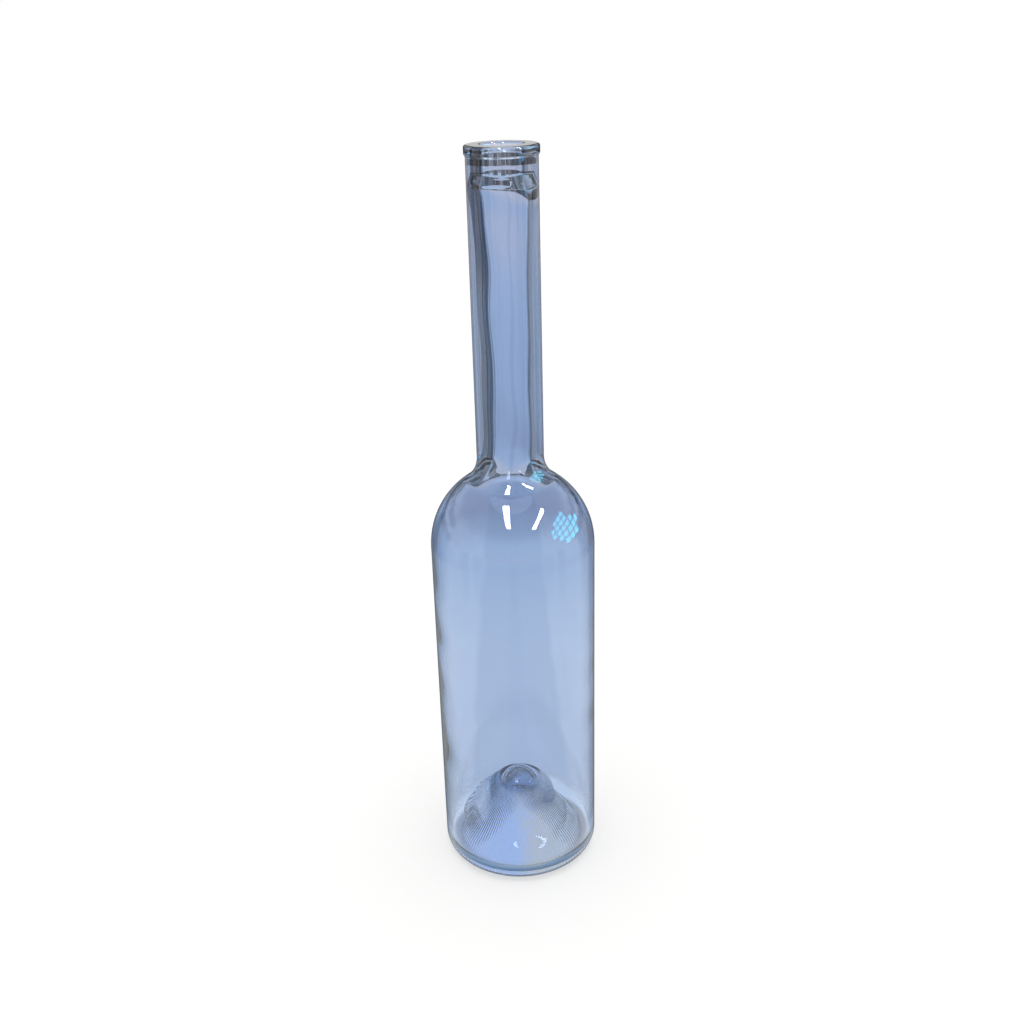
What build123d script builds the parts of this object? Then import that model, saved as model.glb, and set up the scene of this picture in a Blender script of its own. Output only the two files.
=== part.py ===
# A slim long-neck spirits bottle in clear glass, about half a litre, for a push-in stopper.
# It is one moulded piece of glass: a flat band at the mouth, a thick straight neck, a ball
# shoulder, a plain round body and a deep push-up under the base with fine ribs inside it.
# The bottle stands on the origin with its axis along +Z. All sizes are in millimetres.

from build123d import *
import math
import os

# Body
overall_height = 313.0
body_diameter = 69.0
body_wall = 2.4
side_height = 150.4  # from the table to where the shoulder starts
heel_radius = 6.0

# Neck
neck_diameter = 27.6
neck_root_radius = 13.0
neck_bore_diameter = 15.4
bore_root_radius = 16.0

# Finish, the moulded mouth with its flat band
band_projection = 0.55  # how far the band stands out from the neck
band_height = 3.9
band_bottom_bevel = 0.3
lip_bevel = 0.5
lip_radius = 0.9  # rounded edge that leads a stopper into the bore
mouth_bore_diameter = 15.6
mouth_bore_length = 10.4

# Swell, where the bore opens out below the mouth and narrows again down the neck
swell_depth = 1.2  # how far the swell stands back from the mouth bore
swell_opening_length = 5.4
swell_taper_share = 0.4  # of the bore between the swell and the shoulder

# Push-up, the hollow under the base
bearing_width = 2.5  # flat ring that the bottle stands on
push_up_height = 28.6
push_up_bevel = 0.8
crown_diameter = 14.0
crown_rise = 3.2  # from the top of the ribs to the top of the hollow

# Ribs inside the push-up
rib_count = 108
rib_depth = 0.35

# Floor of the bottle, the dome over the push-up and the trough round it
dome_glass = 6.0  # glass over the top of the hollow
brow_reach = 0.2  # how far the dome's brow stands out past the crown
brow_drop = 1.0
brow_radius = 9.0
dome_foot_rise = 8.8  # steep foot of the dome, above the floor of the trough
dome_foot_flare = 3.2
trough_width = 5.4
trough_glass = 3.8
trough_floor_width = 2.0
trough_bevel_width = 1.5
trough_bevel_rise = 2.2

overrun = 1.0  # how far a cut runs past the face that it opens

# Radii and heights that follow from the sizes above
body_radius = body_diameter / 2
cavity_radius = body_radius - body_wall
neck_radius = neck_diameter / 2
bore_radius = neck_bore_diameter / 2
band_radius = neck_radius + band_projection
mouth_radius = mouth_bore_diameter / 2
lip_edge = mouth_radius + lip_radius
swell_radius = mouth_radius + swell_depth
hollow_radius = body_radius - heel_radius - bearing_width
crown_radius = crown_diameter / 2
brow = crown_radius + brow_reach
dome_foot = cavity_radius - trough_width
trough_floor = dome_foot + trough_bevel_width
trough_rim = trough_glass + trough_bevel_rise
band_bottom = overall_height - band_height
lip_height = overall_height - lip_radius
mouth_bore_bottom = overall_height - mouth_bore_length
swell_height = mouth_bore_bottom - swell_opening_length
crown_height = push_up_height - crown_rise
crown_edge = crown_radius + rib_depth
dome_height = push_up_height + dome_glass


def corner(section, reach, height):
    """The corner of a section nearest to a point at this reach from the axis and this height."""
    return section.vertices().sort_by_distance((reach, height, 0))[0]


def ribbed_outline(reach):
    """Corners of a ring of ribs whose crests stand at this reach from the axis."""
    step = math.pi / rib_count
    points = []
    for index in range(2 * rib_count):
        radius = reach + rib_depth * (index % 2)
        points.append((radius * math.cos(index * step), radius * math.sin(index * step)))
    return points


# The shoulder is part of a ball as wide as the body, inside and out
neck_root_height = side_height + math.sqrt(body_radius**2 - neck_radius**2)
bore_root_height = side_height + math.sqrt(cavity_radius**2 - bore_radius**2)
taper_bottom = swell_height - swell_taper_share * (swell_height - bore_root_height)

with BuildPart() as bottle:
    # Outside of the glass, turned as if the bottle were solid
    with BuildSketch(Plane.XZ) as outside:
        with BuildLine():
            foot = Line((0, 0), (body_radius, 0))
            side = Line(foot @ 1, (body_radius, side_height))
            shoulder = RadiusArc(side @ 1, (neck_radius, neck_root_height), -body_radius)
            neck = Line(shoulder @ 1, (neck_radius, band_bottom))
            band = Polyline(neck @ 1, (band_radius, band_bottom), (band_radius, overall_height))
            Polyline(band @ 1, (0, overall_height), (0, 0))
        make_face()
        fillet(corner(outside, body_radius, 0), heel_radius)
        fillet(corner(outside, neck_radius, neck_root_height), neck_root_radius)
        chamfer(corner(outside, band_radius, band_bottom), band_bottom_bevel)
        chamfer(corner(outside, band_radius, overall_height), lip_bevel)
    revolve(axis=Axis.Z)

    # Inside of the glass, from the dome over the push-up to the mouth
    with BuildSketch(Plane.XZ) as inside:
        with BuildLine():
            dome = Polyline(
                (0, dome_height),
                (brow, dome_height - brow_drop),
                (dome_foot - dome_foot_flare, trough_glass + dome_foot_rise),
                (dome_foot, trough_rim),
            )
            trough = Polyline(
                dome @ 1,
                (trough_floor, trough_glass),
                (trough_floor + trough_floor_width, trough_glass),
                (cavity_radius, trough_rim),
            )
            wall = Line(trough @ 1, (cavity_radius, side_height))
            ball = RadiusArc(wall @ 1, (bore_radius, bore_root_height), -cavity_radius)
            bore = Line(ball @ 1, (bore_radius, taper_bottom))
            taper = TangentArc(bore @ 1, (swell_radius, swell_height), tangent=(0, 1))
            mouth = Polyline(taper @ 1, (mouth_radius, mouth_bore_bottom), (mouth_radius, lip_height))
            lip = TangentArc(mouth @ 1, (lip_edge, overall_height), tangent=(0, 1))
            Polyline(
                lip @ 1,
                (lip_edge, overall_height + overrun),
                (0, overall_height + overrun),
                (0, dome_height),
            )
        make_face()
        fillet(corner(inside, brow, dome_height - brow_drop), brow_radius)
        fillet(corner(inside, bore_radius, bore_root_height), bore_root_radius)
    revolve(axis=Axis.Z, mode=Mode.SUBTRACT)

    # Ribbed wall of the push-up
    with BuildSketch():
        Polygon(*ribbed_outline(hollow_radius), align=None)
    with BuildSketch(Plane.XY.offset(crown_height)):
        Polygon(*ribbed_outline(crown_radius), align=None)
    loft(ruled=True, mode=Mode.SUBTRACT)

    # Rounded crown over the ribs
    with BuildSketch(Plane.XZ):
        with BuildLine():
            crown_floor = Polyline((0, push_up_height), (0, crown_height), (crown_edge, crown_height))
            TangentArc(crown_floor @ 0, crown_floor @ 1, tangent=(1, 0))
        make_face()
    revolve(axis=Axis.Z, mode=Mode.SUBTRACT)

    # Bevel where the ribs run out on the bearing ring
    with BuildSketch(Plane.XZ):
        Polygon(
            (0, 0),
            (hollow_radius + push_up_bevel, 0),
            (hollow_radius - push_up_bevel, 2 * push_up_bevel),
            (0, 2 * push_up_bevel),
            align=None,
        )
    revolve(axis=Axis.Z, mode=Mode.SUBTRACT)

bottle.part.label = "bottle"

os.makedirs("parts", exist_ok=True)
export_step(bottle.part, "parts/bottle.step")
print("glass volume", round(bottle.part.volume / 1000, 1), "ml")
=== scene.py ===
import math

import bpy
import numpy as np
from mathutils import Matrix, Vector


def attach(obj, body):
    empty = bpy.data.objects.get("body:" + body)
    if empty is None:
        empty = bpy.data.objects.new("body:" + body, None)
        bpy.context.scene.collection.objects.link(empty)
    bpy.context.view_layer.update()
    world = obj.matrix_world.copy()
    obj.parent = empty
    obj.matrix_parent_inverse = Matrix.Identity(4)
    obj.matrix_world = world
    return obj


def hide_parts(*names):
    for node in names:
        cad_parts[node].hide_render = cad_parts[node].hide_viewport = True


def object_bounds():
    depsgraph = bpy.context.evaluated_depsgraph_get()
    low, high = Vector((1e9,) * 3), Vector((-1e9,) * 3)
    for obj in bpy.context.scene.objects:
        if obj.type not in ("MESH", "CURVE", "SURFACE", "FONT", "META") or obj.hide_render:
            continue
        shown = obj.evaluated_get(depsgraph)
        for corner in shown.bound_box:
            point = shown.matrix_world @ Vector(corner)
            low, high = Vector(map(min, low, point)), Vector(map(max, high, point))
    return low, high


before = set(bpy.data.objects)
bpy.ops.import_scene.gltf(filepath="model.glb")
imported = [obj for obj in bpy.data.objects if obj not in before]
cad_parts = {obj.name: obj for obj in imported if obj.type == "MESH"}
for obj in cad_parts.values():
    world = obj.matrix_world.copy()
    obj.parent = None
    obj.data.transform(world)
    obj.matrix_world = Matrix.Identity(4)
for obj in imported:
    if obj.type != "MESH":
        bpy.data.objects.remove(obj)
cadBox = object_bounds()
print("frame loaded:", ", ".join(sorted(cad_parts)))

mm = 0.001

# Numbers of the Mix node's sockets, whose names are shared: its two inputs and its output
colourA, colourB, colourOut = 6, 7, 2
valueA, valueB, valueOut = 2, 3, 0
white = (1, 1, 1, 1)


def linearColour(code):
    # sRGB hex to the linear values that the shaders take
    values = []
    for digit in (1, 3, 5):
        share = int(code[digit:digit + 2], 16) / 255
        values.append(share / 12.92 if share <= 0.04045 else ((share + 0.055) / 1.055) ** 2.4)
    return (*values, 1.0)


def addNode(tree, kind, settings=None, inputs=None, links=None):
    node = tree.nodes.new(kind)
    for name, value in (settings or {}).items():
        setattr(node, name, value)
    for name, value in (inputs or {}).items():
        node.inputs[name].default_value = value
    for name, socket in (links or {}).items():
        tree.links.new(socket, node.inputs[name])
    return node


def newMaterial(name):
    material = bpy.data.materials.new(name)
    material.use_nodes = True
    material.node_tree.nodes.clear()
    return material, material.node_tree


# The bottle's shape, in millimetres: radii from its axis and heights from the table. The pulls are how a
# curve leaves its first point and arrives at its last one: out, up.
bottle = {
    "height": round(cadBox[1][2] / mm, 1),
    "bodyRadius": round(cadBox[1][0] / mm, 1),
    "wall": 2.4,
    "sideHeight": 150.4,  # where the shoulder starts
    "heelRadius": 6.0,
    "neckRadius": 13.8,
    "neckRootRadius": 13.0,
    "boreRadius": 7.7,
    "boreRootRadius": 16.0,
    # the moulded mouth, and the swell under it where the bore opens out
    "bandRadius": 14.35,
    "bandHeight": 3.9,
    "bandEdge": ((0.0, -0.4), (0.5, 0.02), (1.0, 0.5)),  # its lower edge: share of the step outwards, and up
    "bandPulls": ((0, 0.5), (0, 0.5)),
    "lipOutside": 0.85,  # radii of the lip's softened edges
    "lipInside": 1.0,
    "mouthRadius": 7.8,
    "mouthDepth": 10.4,
    "mouthTurn": ((0.0, 0.4), (0.32, -1.5)),  # from the mouth bore's lower edge: out, up
    "swellDepth": 1.2,
    "swellHeight": 297.2,
    "swellTurn": ((-0.25, 1.2), (-0.04, -1.2), (-0.6, -9.0)),  # from the swell's widest place: out, up
    "swellPulls": ((0, -2.0), (-0.5, -6)),
    "taperTurn": (0.12, -5.0),  # from the middle of the taper on the bore: out, up
    "taperBottom": 255.4,
    "taperPulls": ((-0.75, -12), (0, -16)),
    # the hollow under the base, with its ribs
    "bearingWidth": 2.5,
    "pushUpHeight": 33.2,
    "pushUpFoot": 1.9,  # height at which its wall starts to flare
    "pushUpFlare": ((0.15, 0.35), (0.8, 0.0)),  # past the foot of its wall: out, up
    "pushUpPulls": ((1.2, -1.6), (0.7, 0)),
    "crownRadius": 7.4,
    "crownRise": 3.4,
    "ribCount": 108,
    "ribDepth": 0.15,
    "ribStart": 1.6,  # height over which the ribs start from the foot
    "ribEnd": 0.5,  # how far they go on into the crown
    "ribFade": 2.0,  # height over which they run out there
    "columnsPerRib": 3,  # round the glass; the ribbed wall takes twice as many
    # the floor inside: a trough round the dome over the push-up
    "troughRim": 9.0,
    "trough": ((31.0, 5.0), (29.1, 3.8), (27.5, 4.7)),
    "troughPulls": ((0, -3.4), (-0.35, 2.7)),
    "domeFoot": (26.5, 7.2),
    "domeFlank": ((25.4, 10.3), (23.5, 13.7), (20.7, 18.0), (17.3, 22.6), (13.8, 27.1), (9.9, 31.7),
                  (6.2, 35.0)),
    "domePulls": ((-0.4, 2.6), (-6.0, 0)),
    "domeHeight": 36.4,
    "domeCap": 0.4,  # this much of its top stays round
}


def arcPath(centre, radius, start, end, steps):
    angles = [math.radians(start + (end - start) * i / steps) for i in range(steps + 1)]
    return [(centre[0] + radius * math.cos(a), centre[1] + radius * math.sin(a)) for a in angles]


def linePath(start, end, steps):
    return [(start[0] + (end[0] - start[0]) * i / steps, start[1] + (end[1] - start[1]) * i / steps)
            for i in range(steps + 1)]


def curvePath(points, startPull, endPull, steps):
    # a smooth curve through the points, leaving and arriving along the two pulls
    pulls = [startPull]
    for before, after in zip(points[:-2], points[2:]):
        pulls.append(((after[0] - before[0]) / 2, (after[1] - before[1]) / 2))
    pulls.append(endPull)
    path = []
    for i in range(len(points) - 1):
        for step in range(steps):
            t = step / steps
            weights = (2 * t**3 - 3 * t**2 + 1, t**3 - 2 * t**2 + t, 3 * t**2 - 2 * t**3, t**3 - t**2)
            parts = (points[i], pulls[i], points[i + 1], pulls[i + 1])
            path.append(tuple(sum(w * p[axis] for w, p in zip(weights, parts)) for axis in (0, 1)))
    return path + [points[-1]]


def movedBy(offsets, radius, height):
    return [(radius + out, height + up) for out, up in offsets]


def joinPaths(*paths):
    joined = []
    for path in paths:
        for point in path:
            if not joined or math.dist(point, joined[-1]) > 1e-6:  # where two paths meet, one point is kept
                joined.append(point)
    return joined


def rootOf(ballRadius, neckRadius, rootRadius, sideHeight):
    # the fillet between a ball shoulder and a neck: height of its centre, and the angle where it starts
    reach, side = ballRadius + rootRadius, neckRadius + rootRadius
    return sideHeight + math.sqrt(reach**2 - side**2), math.degrees(math.acos(side / reach))


def pushUpPath(b):
    # from the crown of the hollow down its wall to the bearing ring
    crown = (b["crownRadius"]**2 + b["crownRise"]**2) / (2 * b["crownRise"])
    crownEdge = (b["crownRadius"], b["pushUpHeight"] - b["crownRise"])
    ballAngle = math.degrees(math.asin(b["crownRadius"] / crown))
    hollow = b["bodyRadius"] - b["heelRadius"] - b["bearingWidth"]
    slope = (hollow - b["crownRadius"]) / crownEdge[1]
    foot = (hollow - b["pushUpFoot"] * slope, b["pushUpFoot"])
    return joinPaths(
        arcPath((0, b["pushUpHeight"] - crown), crown, 90, 90 - ballAngle, steps=9),
        linePath(crownEdge, foot, steps=44),
        curvePath([foot, *movedBy(b["pushUpFlare"], hollow, 0)], *b["pushUpPulls"], steps=5),
    )


def outerPath(b, start):
    # from the inner edge of the bearing ring round the heel, up the side, shoulder and neck to the lip
    body, neck, root, band, lip = (b[name] for name in (
        "bodyRadius", "neckRadius", "neckRootRadius", "bandRadius", "lipOutside"))
    heelReach = body - b["heelRadius"]
    rootHeight, rootAngle = rootOf(body, neck, root, b["sideHeight"])
    edge = [(neck + share * (band - neck), b["height"] - b["bandHeight"] + up) for share, up in b["bandEdge"]]
    return joinPaths(
        linePath(start, (heelReach, 0), steps=4),
        arcPath((heelReach, b["heelRadius"]), b["heelRadius"], -90, 0, steps=16),
        linePath((body, b["heelRadius"]), (body, b["sideHeight"]), steps=48),
        arcPath((0, b["sideHeight"]), body, 0, rootAngle, steps=40),
        arcPath((neck + root, rootHeight), root, 180 + rootAngle, 180, steps=22),
        linePath((neck, rootHeight), edge[0], steps=40),
        curvePath(edge, *b["bandPulls"], steps=6),
        linePath(edge[-1], (band, b["height"] - lip), steps=8),
        arcPath((band - lip, b["height"] - lip), lip, 0, 90, steps=8),
    )


def innerPath(b):
    # from the lip down the bore, the shoulder and the wall to the trough and the dome over the push-up
    mouth, bore, lip, root = (b[name] for name in (
        "mouthRadius", "boreRadius", "lipInside", "boreRootRadius"))
    cavity = b["bodyRadius"] - b["wall"]
    rootHeight, rootAngle = rootOf(cavity, bore, root, b["sideHeight"])
    mouthTurn = movedBy(b["mouthTurn"], mouth, b["height"] - b["mouthDepth"])
    swellTurn = movedBy(b["swellTurn"], mouth + b["swellDepth"], b["swellHeight"])
    taper = movedBy([b["taperTurn"]], bore, (b["swellHeight"] + b["taperBottom"]) / 2)
    return joinPaths(
        linePath((b["bandRadius"] - b["lipOutside"], b["height"]), (mouth + lip, b["height"]), steps=6),
        arcPath((mouth + lip, b["height"] - lip), lip, 90, 180, steps=9),
        linePath((mouth, b["height"] - lip), mouthTurn[0], steps=10),
        curvePath(mouthTurn + swellTurn, *b["swellPulls"], steps=8),
        curvePath([swellTurn[-1], *taper, (bore, b["taperBottom"])], *b["taperPulls"], steps=14),
        linePath((bore, b["taperBottom"]), (bore, rootHeight), steps=30),
        arcPath((bore + root, rootHeight), root, 180, 180 + rootAngle, steps=24),
        arcPath((0, b["sideHeight"]), cavity, rootAngle, 0, steps=40),
        linePath((cavity, b["sideHeight"]), (cavity, b["troughRim"]), steps=100),
        curvePath([(cavity, b["troughRim"]), *b["trough"], b["domeFoot"]], *b["troughPulls"], steps=8),
        curvePath([b["domeFoot"], *b["domeFlank"], (0, b["domeHeight"])], *b["domePulls"], steps=8),
    )


# How uneven the blown glass is, in millimetres. A pair of heights is where something sets in or ends, and
# two pairs are both.
blown = {
    "seed": 11,
    "bodySpan": ((9, 30), (150, 176)),
    "panels": 0.05,  # broad upright waves round the body
    "panelCounts": (2, 3, 5, 6, 8, 11),
    "panelTwist": 0.012,  # radians per mm
    "ripple": 0.02,  # finer waves along the wall
    "rippleCounts": (0, 1, 2, 4),
    "ripplePitch": (14, 37),
    "neckSpan": ((184, 200), (290, 300)),
    "bore": 0.05,  # waves down the bore
    "boreCounts": (1, 2, 3),
    "borePitch": (24, 60),
    "boreLean": 0.65,  # how far the bore stands off to the right of the neck
    "boreLow": 0.35,  # how much thicker the glass is low in the neck
    "boreHigh": -0.15,  # and higher up, where it is thinner
    "boreChange": (225, 262),
    "settle": 0.56,  # extra glass low on the wall, from the blowing
    "settleStart": (9, 22),
    "settleHeight": 44.0,
    "settleSpread": 22.0,
    "settleLean": 0.75,  # share of it on the left side
    "floorReach": (20, 30),  # the waves start this far from the axis, and the dome has none of them
    "shoulderHeight": 170.0,  # above this they run all the way in
    "domeOval": 0.13,  # how much longer the dome is across than through, near its top
    "domeOvalStart": 8.0,
    "domeOvalRise": 22.0,  # height over which it grows to that
    "domeOvalMost": 1.1,  # and this many times it at most
    "domeLean": 1.0,  # how far its flank stands off to the left
    "domeLeanSpan": ((8, 18), (24, 34)),
    "lobe": 2.2,  # fold of glass on the dome's left flank
    "lobeTurn": 176.0,  # degrees round from the right
    "lobeWidth": 0.5,  # radians
    "lobeSpan": ((9, 16), (22, 27)),
    "domeWaist": 2.0,  # how far its right flank draws in lower down
    "domeWaistSpan": ((9, 15), (20, 28)),
}


def smoothStep(low, high, value):
    t = np.clip((value - low) / (high - low), 0, 1)
    return t * t * (3 - 2 * t)


def within(span, z):
    # 1 inside a span that sets in over one pair of heights and ends over another
    (startLow, startHigh), (endLow, endHigh) = span
    return smoothStep(startLow, startHigh, z) * (1 - smoothStep(endLow, endHigh, z))


def wallWaves(angles, z, settings):
    # how much thicker the glass is than its drawing, inwards
    rng = np.random.default_rng(settings["seed"])
    panels, ripple, bore = (np.zeros_like(angles) for _ in range(3))
    for count in settings["panelCounts"]:
        phase = rng.uniform(0, 2 * math.pi)
        twist = rng.uniform(-settings["panelTwist"], settings["panelTwist"])
        panels += np.cos(count * angles + phase + twist * z) / count**0.5
    for waves, counts, pitches in ((ripple, "rippleCounts", "ripplePitch"),
                                   (bore, "boreCounts", "borePitch")):
        for count in settings[counts]:
            phase, pitch = rng.uniform(0, 2 * math.pi), rng.uniform(*settings[pitches])
            waves += np.cos(count * angles + phase + 2 * math.pi * z / pitch)
    body = settings["panels"] * panels + settings["ripple"] * ripple
    boreChange = smoothStep(*settings["boreChange"], z)
    neck = (settings["bore"] * bore - settings["boreLean"] * np.cos(angles)
            + settings["boreLow"] + (settings["boreHigh"] - settings["boreLow"]) * boreChange)
    settle = np.exp(-((z - settings["settleHeight"]) / settings["settleSpread"])**2)
    lean = 1 - settings["settleLean"] + settings["settleLean"] * (1 - np.cos(angles)) / 2
    return (within(settings["bodySpan"], z) * body + within(settings["neckSpan"], z) * neck
            + settings["settle"] * settle * smoothStep(*settings["settleStart"], z) * lean)


def domeWaves(angles, r, z, settings):
    # how far the dome's wall stands out from its drawing
    oval = np.clip((z - settings["domeOvalStart"]) / settings["domeOvalRise"], 0, settings["domeOvalMost"])
    lobeTurn = math.radians(settings["lobeTurn"])
    turn = np.arctan2(np.sin(angles - lobeTurn), np.cos(angles - lobeTurn))
    lobe = np.exp(-(turn / settings["lobeWidth"])**2)
    return (settings["domeOval"] * r * oval * np.cos(2 * angles)
            - settings["domeLean"] * within(settings["domeLeanSpan"], z) * np.cos(angles)
            + settings["lobe"] * within(settings["lobeSpan"], z) * lobe
            - settings["domeWaist"] * within(settings["domeWaistSpan"], z) * (1 + np.cos(angles)) / 2)


# Painted reflections: the tone given to light that turns back inside the glass, as shares of red, green and
# blue, painted darker on the neck's left and up under the mouth; the last tones also tint the glass at the
# heel and the push-up. Then how rough its skin is. Heights are in millimetres.
tones = {
    "neckLeft": (0.46, 0.43, 0.39),
    "neckHigh": (0.24, 0.24, 0.26),  # the left side, up under the mouth
    "neckHighStart": (254, 274),
    "neckRight": (0.82, 0.81, 0.78),
    "neckStart": (168, 190),
    "bodyLeft": (0.47, 0.66, 0.82),
    "bodyRight": (0.38, 0.56, 0.75),
    "heel": (0.98, 0.93, 0.80),  # also tints what passes through the heel
    "heelTop": 12.0,
    "outside": (1.0, 1.0, 1.0),
    "pushUp": (0.95, 0.97, 1.0),
    "crown": (0.74, 0.82, 0.92),
    "crownEdge": 1.0,  # how far below the top of the ribs it starts
    "pushUpRoughness": 0.07,  # skin of the push-up, pressed and not fire-polished
    "crownRoughness": 0.22,
    "crownRoughStart": (19, 28),
    "paleLip": 0.4,  # this much of the lip's top keeps the inside's pale skin
}


def between(first, second, share):
    # a tone part of the way from the first to the second
    return tuple(a + (b - a) * share for a, b in zip(first, second))


def wallTone(kind, z, side, b):
    # side runs from -1 on the left to 1 on the right
    if kind == "ribs":
        ribTop = b["pushUpHeight"] - b["crownRise"]
        return tones["pushUp"] if z < ribTop - tones["crownEdge"] else tones["crown"]
    if kind == "outside":
        return tones["heel"] if z < tones["heelTop"] else tones["outside"]
    # painted shade: inside the neck the tone of light turning back is painted darker on the left side and
    # higher up
    share = (1 + side) / 2
    left = between(tones["neckLeft"], tones["neckHigh"], float(smoothStep(*tones["neckHighStart"], z)))
    neck = between(left, tones["neckRight"], share)
    body = between(tones["bodyLeft"], tones["bodyRight"], share)
    return between(body, neck, float(smoothStep(*tones["neckStart"], z)))


def wallSkin(kind, z, b):
    # (1 where the glass has the inside's skin, how rough it is)
    inner = int(kind == "inside" or z > b["height"] - tones["paleLip"])
    if kind != "ribs":
        return inner, 0.0
    rough = float(smoothStep(*tones["crownRoughStart"], z))
    return inner, tones["pushUpRoughness"] + (tones["crownRoughness"] - tones["pushUpRoughness"]) * rough


def rowRadii(kind, r, z, angles, b):
    # how far a row of the glass stands from the axis, all the way round
    radii = np.full(len(angles), float(r))
    if kind == "ribs":
        ribEnd = b["pushUpHeight"] - b["crownRise"] + b["ribEnd"]
        share = np.clip((ribEnd - z) / b["ribFade"], 0, 1) * np.clip(z / b["ribStart"], 0, 1)
        radii += b["ribDepth"] * share * (1 - np.cos(b["ribCount"] * angles)) / 2
    if kind == "inside":
        share = smoothStep(*blown["floorReach"], r) if z <= blown["shoulderHeight"] else 1.0
        radii -= wallWaves(angles, np.full(len(angles), float(z)), blown) * share
        if z < b["domeHeight"] - b["domeCap"] and r <= b["domeFoot"][0]:
            radii += domeWaves(angles, r, z, blown)
    return radii


def rowFaces(first, firstCount, second, secondCount):
    # faces between two rows, given by the number of their first point and their count of points
    if firstCount == secondCount:
        nexts = [(i + 1) % firstCount for i in range(firstCount)]
        return [(first + i, first + after, second + after, second + i) for i, after in enumerate(nexts)]
    faces = []
    for i in range(secondCount):  # two fine columns meet one coarse one
        left, middle, right = first + 2 * i, first + 2 * i + 1, first + (2 * i + 2) % firstCount
        low, high = second + i, second + (i + 1) % secondCount
        faces += [(left, middle, low), (middle, high, low), (middle, right, high)]
    return faces


def lathe(b):
    # one closed skin of glass, row by row: from the push-up's crown down its wall, up the outside to the lip,
    # down the inside to the trough, and up to the top of the dome
    coarse = b["ribCount"] * b["columnsPerRib"]
    pushUp, inside = pushUpPath(b), innerPath(b)
    rows = [("ribs", r, z, coarse * 2) for r, z in pushUp[1:]]
    rows += [("outside", r, z, coarse) for r, z in outerPath(b, pushUp[-1])[1:]]
    rows += [("inside", r, z, coarse) for r, z in inside[1:-1]]
    vertices = [(0, 0, pushUp[0][1])]
    skins = [(0, tones["crownRoughness"])]
    shades = [tones["outside"]]
    starts = []
    for kind, r, z, count in rows:
        angles = np.arange(count) * 2 * math.pi / count
        radii = rowRadii(kind, r, z, angles, b)
        starts.append(len(vertices))
        vertices += list(zip(radii * np.cos(angles), radii * np.sin(angles), np.full(count, float(z))))
        skins += [wallSkin(kind, z, b)] * count
        shades += [wallTone(kind, z, math.cos(angle), b) for angle in angles]
    vertices.append((0, 0, inside[-1][1]))
    skins.append((1, 0))
    shades.append(tones["bodyRight"])
    counts = [count for *_, count in rows]
    faces = [(0, starts[0] + (i + 1) % counts[0], starts[0] + i) for i in range(counts[0])]
    for row in range(len(rows) - 1):
        faces += rowFaces(starts[row], counts[row], starts[row + 1], counts[row + 1])
    last = len(vertices) - 1
    faces += [(starts[-1] + i, starts[-1] + (i + 1) % coarse, last) for i in range(coarse)]
    return np.array(vertices, float) * mm, faces, skins, shades


glass = {
    "through": "#A8BDDF",  # tint of the light that passes one side of the bottle
    # painted shade: the rim tones darken the glass where the eye looks along it, outside and inside
    "rim": "#4F6C88",  # where the eye looks along the outside
    "innerRim": "#7690AA",  # and along the inside
    # painted reflection: a dark tone that the outside mirrors along its outline
    "outline": "#46596E",  # what the outside mirrors where the eye only grazes it
    # from where each sets in to where it is full: 0 faces the eye, and 1 is edge on
    "rimSpan": (0.58, 0.95),
    "innerRimSpan": (0.55, 0.95),
    "outlineSpan": (0.66, 0.97),
    "ior": 1.52,
    "turnsBack": 0.985,  # mirrored share above which light turns back inside the glass
    "absorption": "#D9EBF5",
    "density": 4.0,  # per metre
    "orangePeel": 9.0,  # mm between the soft dents of the moulded skin
    "dentDepth": 0.004,  # mm
}


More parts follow.
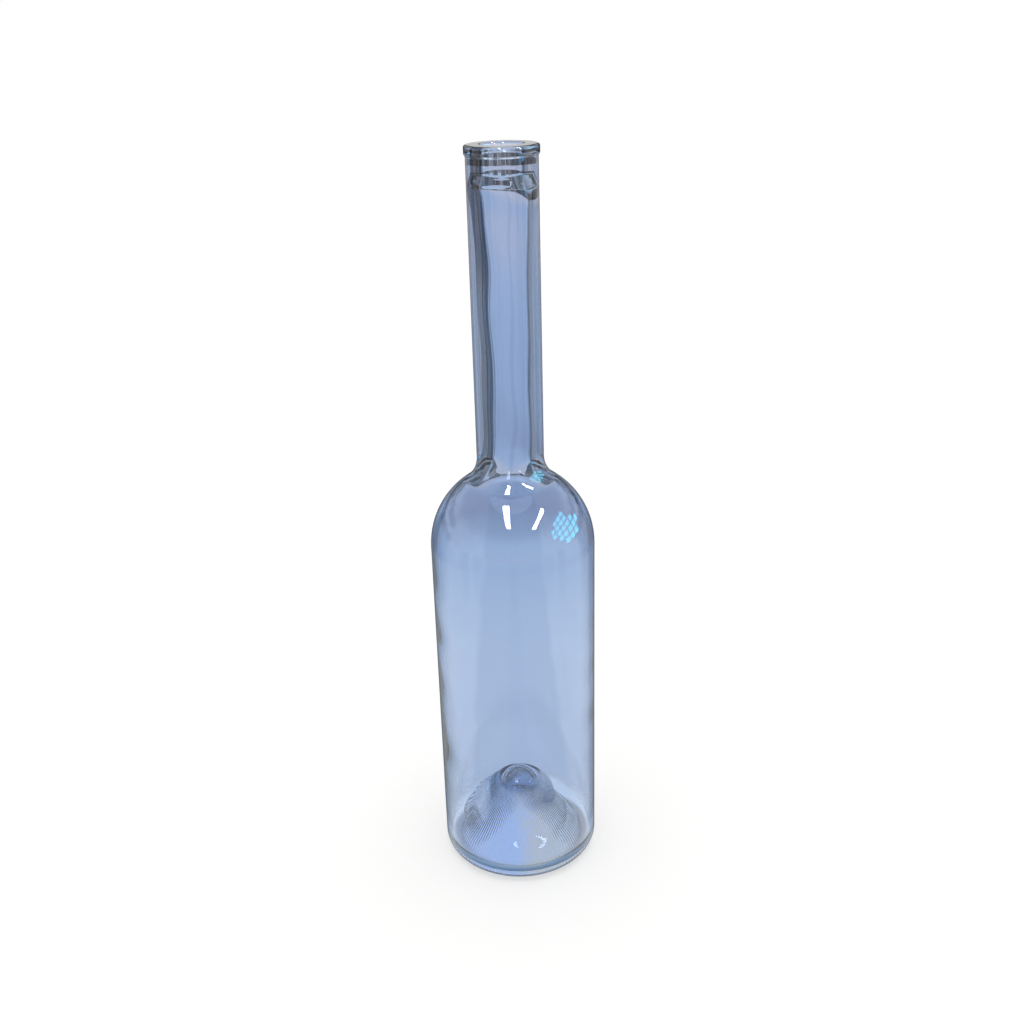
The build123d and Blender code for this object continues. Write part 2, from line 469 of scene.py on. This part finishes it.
def flintGlass():
    # Soda-lime flint glass, blown and pressed in a mould and fire-polished: clear and smooth, with a faint
    # blue cast seen through both walls, painted shade where the eye looks along the glass, a painted dark
    # reflection along its outline, painted tones where light turns back inside it, and a soft unevenness
    # that bends what lies behind it.
    material, tree = newMaterial("soda-lime flint glass")
    skins = addNode(tree, "ShaderNodeAttribute", {"attribute_name": "skins"})
    skin = addNode(tree, "ShaderNodeSeparateXYZ", links={"Vector": skins.outputs["Vector"]})
    shades = addNode(tree, "ShaderNodeAttribute", {"attribute_name": "tones"})
    facing = addNode(tree, "ShaderNodeLayerWeight", inputs={"Blend": 0.5})
    rims = []
    for name in ("rimSpan", "innerRimSpan", "outlineSpan"):
        start, end = glass[name]
        rims.append(addNode(tree, "ShaderNodeMapRange", {"interpolation_type": "SMOOTHSTEP"},
                            {"From Min": start, "From Max": end}, {"Value": facing.outputs["Facing"]}))
    rim, innerRim, outline = rims

    # painted shade towards the outline, outside and inside
    outside = addNode(tree, "ShaderNodeMix", {"data_type": "RGBA"},
                      {colourA: linearColour(glass["through"]), colourB: linearColour(glass["rim"])},
                      {"Factor": rim.outputs["Result"]})
    shaded = addNode(tree, "ShaderNodeMix", {"data_type": "RGBA", "blend_type": "MULTIPLY"}, {"Factor": 1.0},
                     {colourA: outside.outputs[colourOut], colourB: shades.outputs["Color"]})
    inside = addNode(tree, "ShaderNodeMix", {"data_type": "RGBA"},
                     {colourA: white, colourB: linearColour(glass["innerRim"])},
                     {"Factor": innerRim.outputs["Result"]})
    tint = addNode(tree, "ShaderNodeMix", {"data_type": "RGBA"},
                   links={"Factor": skin.outputs["X"], colourA: shaded.outputs[colourOut],
                          colourB: inside.outputs[colourOut]})

    place = addNode(tree, "ShaderNodeTexCoord")
    dents = addNode(tree, "ShaderNodeTexNoise",
                    inputs={"Scale": 1 / (glass["orangePeel"] * mm), "Detail": 1.0},
                    links={"Vector": place.outputs["Object"]})
    bump = addNode(tree, "ShaderNodeBump", inputs={"Strength": 1.0, "Distance": glass["dentDepth"] * mm},
                   links={"Height": dents.outputs["Fac"]})
    clear = addNode(tree, "ShaderNodeBsdfPrincipled",
                    inputs={"IOR": glass["ior"], "Transmission Weight": 1.0},
                    links={"Base Color": tint.outputs[colourOut], "Roughness": skin.outputs["Y"],
                           "Normal": bump.outputs["Normal"]})

    # painted reflection: light that turns back inside the glass takes on the painted tone of the wall there
    mirror = addNode(tree, "ShaderNodeBsdfAnisotropic", inputs={"Roughness": 0.0},
                     links={"Color": shades.outputs["Color"], "Normal": bump.outputs["Normal"]})
    steep = addNode(tree, "ShaderNodeFresnel", inputs={"IOR": glass["ior"]},
                    links={"Normal": bump.outputs["Normal"]})
    turned = addNode(tree, "ShaderNodeMath", {"operation": "GREATER_THAN"}, {1: glass["turnsBack"]},
                     {0: steep.outputs["Fac"]})
    wall = addNode(tree, "ShaderNodeMixShader", links={"Fac": turned.outputs[0], 1: clear.outputs["BSDF"],
                                                       2: mirror.outputs["BSDF"]})

    # and the outside's outline mirrors a painted dark tone, a painted reflection in place of a dim room
    outer = addNode(tree, "ShaderNodeMath", {"operation": "SUBTRACT", "use_clamp": True},
                    links={0: outline.outputs["Result"], 1: skin.outputs["X"]})
    paintedDusk = addNode(tree, "ShaderNodeBsdfAnisotropic",
                   inputs={"Color": linearColour(glass["outline"]), "Roughness": 0.0})
    edged = addNode(tree, "ShaderNodeMixShader", links={"Fac": outer.outputs[0], 1: wall.outputs["Shader"],
                                                        2: paintedDusk.outputs["BSDF"]})
    depth = addNode(tree, "ShaderNodeVolumeAbsorption",
                    inputs={"Color": linearColour(glass["absorption"]), "Density": glass["density"]})
    addNode(tree, "ShaderNodeOutputMaterial",
            links={"Surface": edged.outputs["Shader"], "Volume": depth.outputs["Volume"]})
    return material


def makeBottle():
    points, faces, skins, shades = lathe(bottle)
    mesh = bpy.data.meshes.new("bottleGlass")
    mesh.from_pydata([tuple(point) for point in points], [], faces)
    mesh.validate()
    marks = mesh.attributes.new("skins", "FLOAT_VECTOR", "POINT")
    marks.data.foreach_set("vector", np.array([(*skin, 0) for skin in skins], np.float32).ravel())
    colours = mesh.attributes.new("tones", "FLOAT_COLOR", "POINT")
    colours.data.foreach_set("color", np.array([(*shade, 1) for shade in shades], np.float32).ravel())
    mesh.polygons.foreach_set("use_smooth", [True] * len(mesh.polygons))
    mesh.update()
    piece = bpy.data.objects.new("bottleGlass", mesh)
    bpy.context.scene.collection.objects.link(piece)
    mesh.materials.append(flintGlass())
    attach(piece, "root")
    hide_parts("bottle")
    return piece


bottleGlass = makeBottle()
print("bottle lathed:", len(bottleGlass.data.polygons), "faces")


def stageMesh(name, corners, faces, material, fades=None):
    mesh = bpy.data.meshes.new(name)
    mesh.from_pydata(corners, [], faces)
    if fades:  # 1 where the piece has faded away
        mesh.attributes.new("fade", "FLOAT", "POINT").data.foreach_set("value", fades)
    piece = bpy.data.objects.new(name, mesh)
    bpy.context.scene.collection.objects.link(piece)
    mesh.materials.append(material)
    return piece


# The floor that the bottle stands on; lengths are in metres
floor = {
    "paint": "#BCBCBC",
    "roughness": 0.9,
    "lift": 0.60,  # brings the unshadowed floor up to white in the picture
    "reach": 40.0,
    "drop": 0.0002,  # how far it lies under the bottle's foot
    # its colour in the glass, by share of matReach
    "mat": ((0.0, "#FFFFFF"), (0.09, "#FFFFFF"), (0.155, "#E4EEF6"), (0.207, "#BFC1D0"), (0.35, "#D1DBE8"),
            (0.556, "#DBE2EF"), (0.885, "#FAEFEC")),
    "matReach": 2.0,
    # painted light and shade that the glass shows under and round itself, a painted pool of light under it, a
    # painted ring of contact shadow round its foot and a painted bright ring beyond: share of the reach,
    # share of the light, colour
    "paintedPool": ((0.0, 0.78, "#FFFFFF"), (0.28, 0.74, "#FFFFFF"), (0.34, 0.46, "#F8F8FC"),
             (0.41, 0.48, "#F8F8FC"), (0.45, 0.84, "#FFFFFF"), (0.52, 0.78, "#FFFFFF"),
             (0.59, 0.45, "#FFFFFF")),
    "paintedPoolReach": 0.08,
    "paintedPoolLight": 2.2,
    # painted light: under the bottle it is cooler on the left and warmer on the right
    "coolSide": "#E2EDFF",
    "warmSide": "#FFF2E2",
    "sideTurn": (-0.003, 0.006),
    "underEdge": (0.028, 0.036),
    "shade": "#EEF2F6",  # in line with the bottle, in its own shade
    "shadeEdge": (0.0261, 0.0319),
}


def setStops(ramp, stops):
    # stops: place along the ramp, and linear colour
    elements = ramp.color_ramp.elements
    while len(elements) < len(stops):
        elements.new(0.5)
    for element, (position, colour) in zip(elements, stops):
        element.position = position
        element.color = colour


def matteFloor():
    # Matte white paint on board: no gloss, so it only takes the bottle's soft shadow. The glass picks it
    # up in a cooler tone away from the bottle, with painted light under it and painted shade round its foot
    # and in line with it.
    material, tree = newMaterial("matte white board")
    rays = addNode(tree, "ShaderNodeLightPath")
    inGlass = addNode(tree, "ShaderNodeMath", {"operation": "MAXIMUM"},
                      links={0: rays.outputs["Is Transmission Ray"], 1: rays.outputs["Is Glossy Ray"]})
    place = addNode(tree, "ShaderNodeTexCoord")
    sides = addNode(tree, "ShaderNodeSeparateXYZ", links={"Vector": place.outputs["Object"]})
    distance = addNode(tree, "ShaderNodeVectorMath", {"operation": "LENGTH"},
                       links={0: place.outputs["Object"]})

    # the mat, a little darker in line with the bottle
    matShare = addNode(tree, "ShaderNodeMath", {"operation": "DIVIDE"}, {1: floor["matReach"]},
                       {0: distance.outputs["Value"]})
    mat = addNode(tree, "ShaderNodeValToRGB", links={"Fac": matShare.outputs[0]})
    setStops(mat, [(position, linearColour(code)) for position, code in floor["mat"]])
    aside = addNode(tree, "ShaderNodeMath", {"operation": "ABSOLUTE"}, links={0: sides.outputs["X"]})
    spans = []
    for name, source in (("shadeEdge", aside.outputs[0]), ("sideTurn", sides.outputs["X"]),
                         ("underEdge", distance.outputs["Value"])):
        start, end = floor[name]
        spans.append(addNode(tree, "ShaderNodeMapRange", {"interpolation_type": "SMOOTHSTEP"},
                             {"From Min": start, "From Max": end}, {"Value": source}))
    bare, side, beyond = spans
    shade = addNode(tree, "ShaderNodeMix", {"data_type": "RGBA"},
                    {colourA: linearColour(floor["shade"]), colourB: white},
                    {"Factor": bare.outputs["Result"]})
    shaded = addNode(tree, "ShaderNodeMix", {"data_type": "RGBA", "blend_type": "MULTIPLY"}, {"Factor": 1.0},
                     {colourA: mat.outputs["Color"], colourB: shade.outputs[colourOut]})

    # painted light: what lies under the bottle, and both together as the glass shows them
    under = addNode(tree, "ShaderNodeMix", {"data_type": "RGBA"},
                    {colourA: linearColour(floor["coolSide"]), colourB: linearColour(floor["warmSide"])},
                    {"Factor": side.outputs["Result"]})
    floorTone = addNode(tree, "ShaderNodeMix", {"data_type": "RGBA"},
                        links={"Factor": beyond.outputs["Result"], colourA: under.outputs[colourOut],
                               colourB: shaded.outputs[colourOut]})
    tone = addNode(tree, "ShaderNodeMix", {"data_type": "RGBA"}, {colourA: white},
                   {"Factor": inGlass.outputs[0], colourB: floorTone.outputs[colourOut]})
    colour = addNode(tree, "ShaderNodeMix", {"data_type": "RGBA", "blend_type": "MULTIPLY"},
                     {"Factor": 1.0, colourB: linearColour(floor["paint"])},
                     {colourA: tone.outputs[colourOut]})

    # painted light and shade that the glass shows there: a pool and a ring of light, and a dark ring of
    # painted contact shadow
    paintedPoolShare = addNode(tree, "ShaderNodeMath", {"operation": "DIVIDE"}, {1: floor["paintedPoolReach"]},
                        {0: distance.outputs["Value"]})
    paintedPool = addNode(tree, "ShaderNodeValToRGB", links={"Fac": paintedPoolShare.outputs[0]})
    setStops(paintedPool, [(position, (*(value * part for part in linearColour(code)[:3]), 1))
                    for position, value, code in floor["paintedPool"]])
    paintedPoolTone = addNode(tree, "ShaderNodeMix", {"data_type": "RGBA"}, {colourA: white},
                       {"Factor": inGlass.outputs[0], colourB: paintedPool.outputs["Color"]})
    given = addNode(tree, "ShaderNodeMix", {"data_type": "RGBA", "blend_type": "MULTIPLY"}, {"Factor": 1.0},
                    {colourA: tone.outputs[colourOut], colourB: paintedPoolTone.outputs[colourOut]})
    paintedPoolGain = addNode(tree, "ShaderNodeMix", {"data_type": "FLOAT"}, {valueA: 1.0, valueB: floor["paintedPoolLight"]},
                   {"Factor": inGlass.outputs[0]})
    liftAndPaintedPool = addNode(tree, "ShaderNodeMath", {"operation": "MULTIPLY"}, {1: floor["lift"]},
                       {0: paintedPoolGain.outputs[valueOut]})
    shown = addNode(tree, "ShaderNodeMath", {"operation": "MAXIMUM"},
                    links={0: inGlass.outputs[0], 1: rays.outputs["Is Camera Ray"]})
    lift = addNode(tree, "ShaderNodeMath", {"operation": "MULTIPLY"},
                   links={0: liftAndPaintedPool.outputs[0], 1: shown.outputs[0]})
    paint = addNode(tree, "ShaderNodeBsdfPrincipled",
                    inputs={"Roughness": floor["roughness"], "Specular IOR Level": 0.0},
                    links={"Base Color": colour.outputs[colourOut],
                           "Emission Color": given.outputs[colourOut],
                           "Emission Strength": lift.outputs[0]})
    addNode(tree, "ShaderNodeOutputMaterial", links={"Surface": paint.outputs["BSDF"]})
    return material


def makeFloor():
    reach, z = floor["reach"], -floor["drop"]
    corners = [(-reach, -reach, z), (reach, -reach, z), (reach, reach, z), (-reach, reach, z)]
    return stageMesh("studioFloor", corners, [(0, 1, 2, 3)], matteFloor())


makeFloor()
print("floor laid")


def glow(name, code, mirrored, through):
    # a plain lit surface, with its brightness in the glass's reflections and through the glass; the point
    # attribute fades it out at its edges
    material, tree = newMaterial(name)
    rays = addNode(tree, "ShaderNodeLightPath")
    bright = addNode(tree, "ShaderNodeMix", {"data_type": "FLOAT"}, {valueA: mirrored, valueB: through},
                     {"Factor": rays.outputs["Is Transmission Ray"]})
    light = addNode(tree, "ShaderNodeEmission", inputs={"Color": linearColour(code)},
                    links={"Strength": bright.outputs[valueOut]})
    clear = addNode(tree, "ShaderNodeBsdfTransparent")
    fade = addNode(tree, "ShaderNodeAttribute", {"attribute_name": "fade"})
    mixed = addNode(tree, "ShaderNodeMixShader", links={"Fac": fade.outputs["Fac"], 1: light.outputs[0],
                                                        2: clear.outputs[0]})
    addNode(tree, "ShaderNodeOutputMaterial", links={"Surface": mixed.outputs[0]})
    return material


def onlyInGlass(piece):
    # shows in the bottle's reflections and refractions, and neither lights nor shades the floor
    piece.visible_camera = piece.visible_diffuse = piece.visible_shadow = piece.visible_volume_scatter = False


# Matte papers in greys and browns on the floor beside the bottle, which give the neck its dark streaks
papers = {
    # from, to (degrees round from straight behind), colour
    "sheets": ((38, 45, "#C9BDB0"), (45, 60, "#CFCBCA"), (60, 66, "#ACA9AB"), (66, 78, "#8494A2"),
               (-46, -37, "#9C968E"), (-60, -46, "#C3CBD6"), (-80, -60, "#8FA6BE"),
               (105, 119, "#8C99A4"), (122, 140, "#99A6B2"),
               (-119, -105, "#8FA0AE"), (-140, -124, "#A0ACB8")),
    "reach": (0.26, 9.0),  # m
    "nearFade": 1.7,  # full from this many times the nearer reach
    "height": 0.001,  # m above the table
    "steps": 10,
}


def makePapers():
    near, far = papers["reach"]
    steps = papers["steps"]
    for number, (start, end, code) in enumerate(papers["sheets"]):
        corners, fades = [], []
        for step in range(steps + 1):
            turn = math.radians(start + (end - start) * step / steps)
            for reach in (near, near * papers["nearFade"], far):
                corners.append((reach * math.sin(turn), reach * math.cos(turn), papers["height"]))
                fades.append(float(step in (0, steps) or reach == near))
        faces = [(k, k + 1, k + 4, k + 3) for k in range(3 * steps) if k % 3 < 2]
        paper = glow(f"matte paper {number + 1}", code, mirrored=1.0, through=1.0)
        onlyInGlass(stageMesh(f"paper{number + 1}", corners, faces, paper, fades))


# Round card on the floor to the left, a warm light in the push-up
card = {
    "place": (-0.078, 0.012, 0.001),  # m
    "radius": 0.036,
    "rings": ((0.6, 0.0), (1.15, 1.0)),  # share of the radius, and how far it has faded
    "sides": 48,
    "colour": "#F2F0E8",
}


def makeCard():
    x, y, z = card["place"]
    sides = card["sides"]
    corners, fades = [(x, y, z)], [0.0]
    for share, faded in card["rings"]:
        for i in range(sides):
            turn = 2 * math.pi * i / sides
            reach = share * card["radius"]
            corners.append((x + reach * math.cos(turn), y + reach * math.sin(turn), z))
            fades.append(faded)
    nexts = [(i, (i + 1) % sides) for i in range(sides)]
    faces = [(0, 1 + i, 1 + after) for i, after in nexts]
    faces += [(1 + i, 1 + sides + i, 1 + sides + after, 1 + after) for i, after in nexts]
    paper = glow("warm white card", card["colour"], mirrored=1.0, through=1.0)
    onlyInGlass(stageMesh("warmCard", corners, faces, paper, fades))


# Runs of ceiling strips, which give the shoulder its white marks; in metres
strips = {
    "light": "#FFFFFF",
    "bright": 60.0,
    "height": 2.2,
    # x, width, then where each length starts and ends along y
    "runs": ((-0.27, 0.30, ((-0.52, -1.60), (-1.66, -2.2))),
             (1.66, 0.28, ((-0.35, -1.2), (-1.25, -2.2)))),
}


def makeStrips():
    tube = glow("strip light", strips["light"], mirrored=strips["bright"], through=strips["bright"])
    z = strips["height"]
    for number, (x, width, lengths) in enumerate(strips["runs"]):
        left, right = x - width / 2, x + width / 2
        corners, faces = [], []
        for start, end in lengths:
            faces.append(tuple(range(len(corners), len(corners) + 4)))
            corners += [(left, start, z), (right, start, z), (right, end, z), (left, end, z)]
        onlyInGlass(stageMesh(f"stripLight{number + 1}", corners, faces, tube))


# A window to the right in small panes, through which the blue sky shows; in metres
window = {
    "sky": "#58D4F8",
    "mirrored": 11.0,  # how bright it is in the glass's reflections
    "through": 1.8,  # and through the glass
    "distance": 2.0,
    "corner": (-1.45, 1.19),  # y and z of the top row's first pane
    "pitch": (0.365, 0.25),
    "pane": (0.29, 0.19),
    "rows": ((2, 4), (1, 4), (1, 5), (2, 6), (3, 5)),  # first and last pane of each row, from the top
}


def makePanes():
    sky = glow("sky through a window", window["sky"], window["mirrored"], window["through"])
    x, (wide, high) = window["distance"], window["pane"]
    corners, faces = [], []
    for row, (first, last) in enumerate(window["rows"]):
        for pane in range(first, last + 1):
            y = window["corner"][0] + pane * window["pitch"][0]
            z = window["corner"][1] - row * window["pitch"][1]
            faces.append(tuple(range(len(corners), len(corners) + 4)))
            corners += [(x, y, z), (x, y + wide, z), (x, y + wide, z + high), (x, y, z + high)]
    onlyInGlass(stageMesh("windowPanes", corners, faces, sky))


# Dark and pale boards standing behind, which show as fragments in the mouth and the swell under it
boards = {
    "seed": 5,
    "colours": ("#4B4038", "#7E6B58", "#2E2A28", "#9B8B76", "#6E6258", "#50555C", "#3A302A",
                "#A89C8C"),
    # distance, heights of the low and the high edge (m), widths (degrees)
    "rows": ((2.6, (0.034, 0.046), (0.3, 0.45), (1.2, 5.5)),
             (2.6, (0.590, 0.605), (0.90, 1.15), (1.2, 5.5))),
    "gaps": (0, 0.4),  # degrees
    "spread": 82,  # degrees to each side of straight behind
}


def makeBoards():
    rng = np.random.default_rng(boards["seed"])
    meshes = [([], []) for _ in boards["colours"]]
    for distance, lows, highs, widths in boards["rows"]:
        turn = -float(boards["spread"])
        while turn < boards["spread"]:
            wide = float(rng.uniform(*widths))
            low, high = float(rng.uniform(*lows)), float(rng.uniform(*highs))
            corners, faces = meshes[int(rng.integers(len(meshes)))]
            base = len(corners)
            for angle in (turn, turn + wide):
                x, y = distance * math.sin(math.radians(angle)), distance * math.cos(math.radians(angle))
                corners += [(x, y, low), (x, y, high)]
            faces.append((base, base + 1, base + 3, base + 2))
            turn += wide + float(rng.uniform(*boards["gaps"]))
    for number, ((corners, faces), code) in enumerate(zip(meshes, boards["colours"])):
        if faces:
            board = glow(f"painted board {number + 1}", code, mirrored=1.0, through=1.0)
            onlyInGlass(stageMesh(f"board{number + 1}", corners, faces, board))


makePapers()
makeCard()
makeStrips()
makePanes()
makeBoards()
print("room built round the glass")


# The air: bright low down, dimmer towards the ceiling, and white wherever the camera sees past the floor
air = {
    "horizon": "#FFFFFF",
    "overhead": "#8E8880",
    "rise": (0.3, 0.6),  # how far up it turns from the one to the other: 0 is level and 1 straight up
    "strength": 0.9,
    "sunStrength": 1.55,
    "sunSpread": 50.0,  # degrees, for a soft shadow
    "sunHeight": 2.0,
}


def makeWorld():
    world = bpy.data.worlds.new("studioAir")
    world.use_nodes = True
    tree = world.node_tree
    tree.nodes.clear()
    direction = addNode(tree, "ShaderNodeTexCoord")
    parts = addNode(tree, "ShaderNodeSeparateXYZ", links={"Vector": direction.outputs["Generated"]})
    start, end = air["rise"]
    rise = addNode(tree, "ShaderNodeMapRange", {"interpolation_type": "SMOOTHSTEP"},
                   {"From Min": start, "From Max": end}, {"Value": parts.outputs["Z"]})
    shade = addNode(tree, "ShaderNodeMix", {"data_type": "RGBA"},
                    {colourA: linearColour(air["horizon"]), colourB: linearColour(air["overhead"])},
                    {"Factor": rise.outputs["Result"]})
    lit = addNode(tree, "ShaderNodeBackground", inputs={"Strength": air["strength"]},
                  links={"Color": shade.outputs[colourOut]})
    plain = addNode(tree, "ShaderNodeBackground", inputs={"Color": white, "Strength": 1.0})
    rays = addNode(tree, "ShaderNodeLightPath")
    mixed = addNode(tree, "ShaderNodeMixShader",
                    links={"Fac": rays.outputs["Is Camera Ray"], 1: lit.outputs[0], 2: plain.outputs[0]})
    addNode(tree, "ShaderNodeOutputWorld", links={"Surface": mixed.outputs[0]})
    bpy.context.scene.world = world


def makeSun():
    data = bpy.data.lights.new("overheadLight", "SUN")
    data.energy = air["sunStrength"]
    data.angle = math.radians(air["sunSpread"])
    lamp = bpy.data.objects.new("overheadLight", data)
    lamp.location = (0, 0, air["sunHeight"])
    lamp.visible_glossy = False
    bpy.context.scene.collection.objects.link(lamp)


makeWorld()
makeSun()
print("lights set")


# The photograph's viewpoint: a little above the mouth, close, looking down
view = {
    "place": (0.00046, -0.43739, 0.35466),
    "pitchDown": 21.728,  # degrees
    "roll": -1.618,
    "sensor": 36.0,  # mm
    "lens": 40.054,
    "shiftY": -0.035,  # the frame sits a little low
    "clip": (0.01, 100),
}


def makeCamera():
    data = bpy.data.cameras.new("photographView")
    data.sensor_width = view["sensor"]
    data.lens = view["lens"]
    data.shift_y = view["shiftY"]
    data.clip_start, data.clip_end = view["clip"]
    camera = bpy.data.objects.new("photographView", data)
    bpy.context.scene.collection.objects.link(camera)
    camera.matrix_world = (Matrix.Translation(view["place"])
                           @ Matrix.Rotation(math.radians(90 - view["pitchDown"]), 4, "X")
                           @ Matrix.Rotation(math.radians(view["roll"]), 4, "Z"))
    bpy.context.scene.camera = camera


makeCamera()
bpy.context.scene.view_settings.view_transform = "Standard"
print("camera placed")
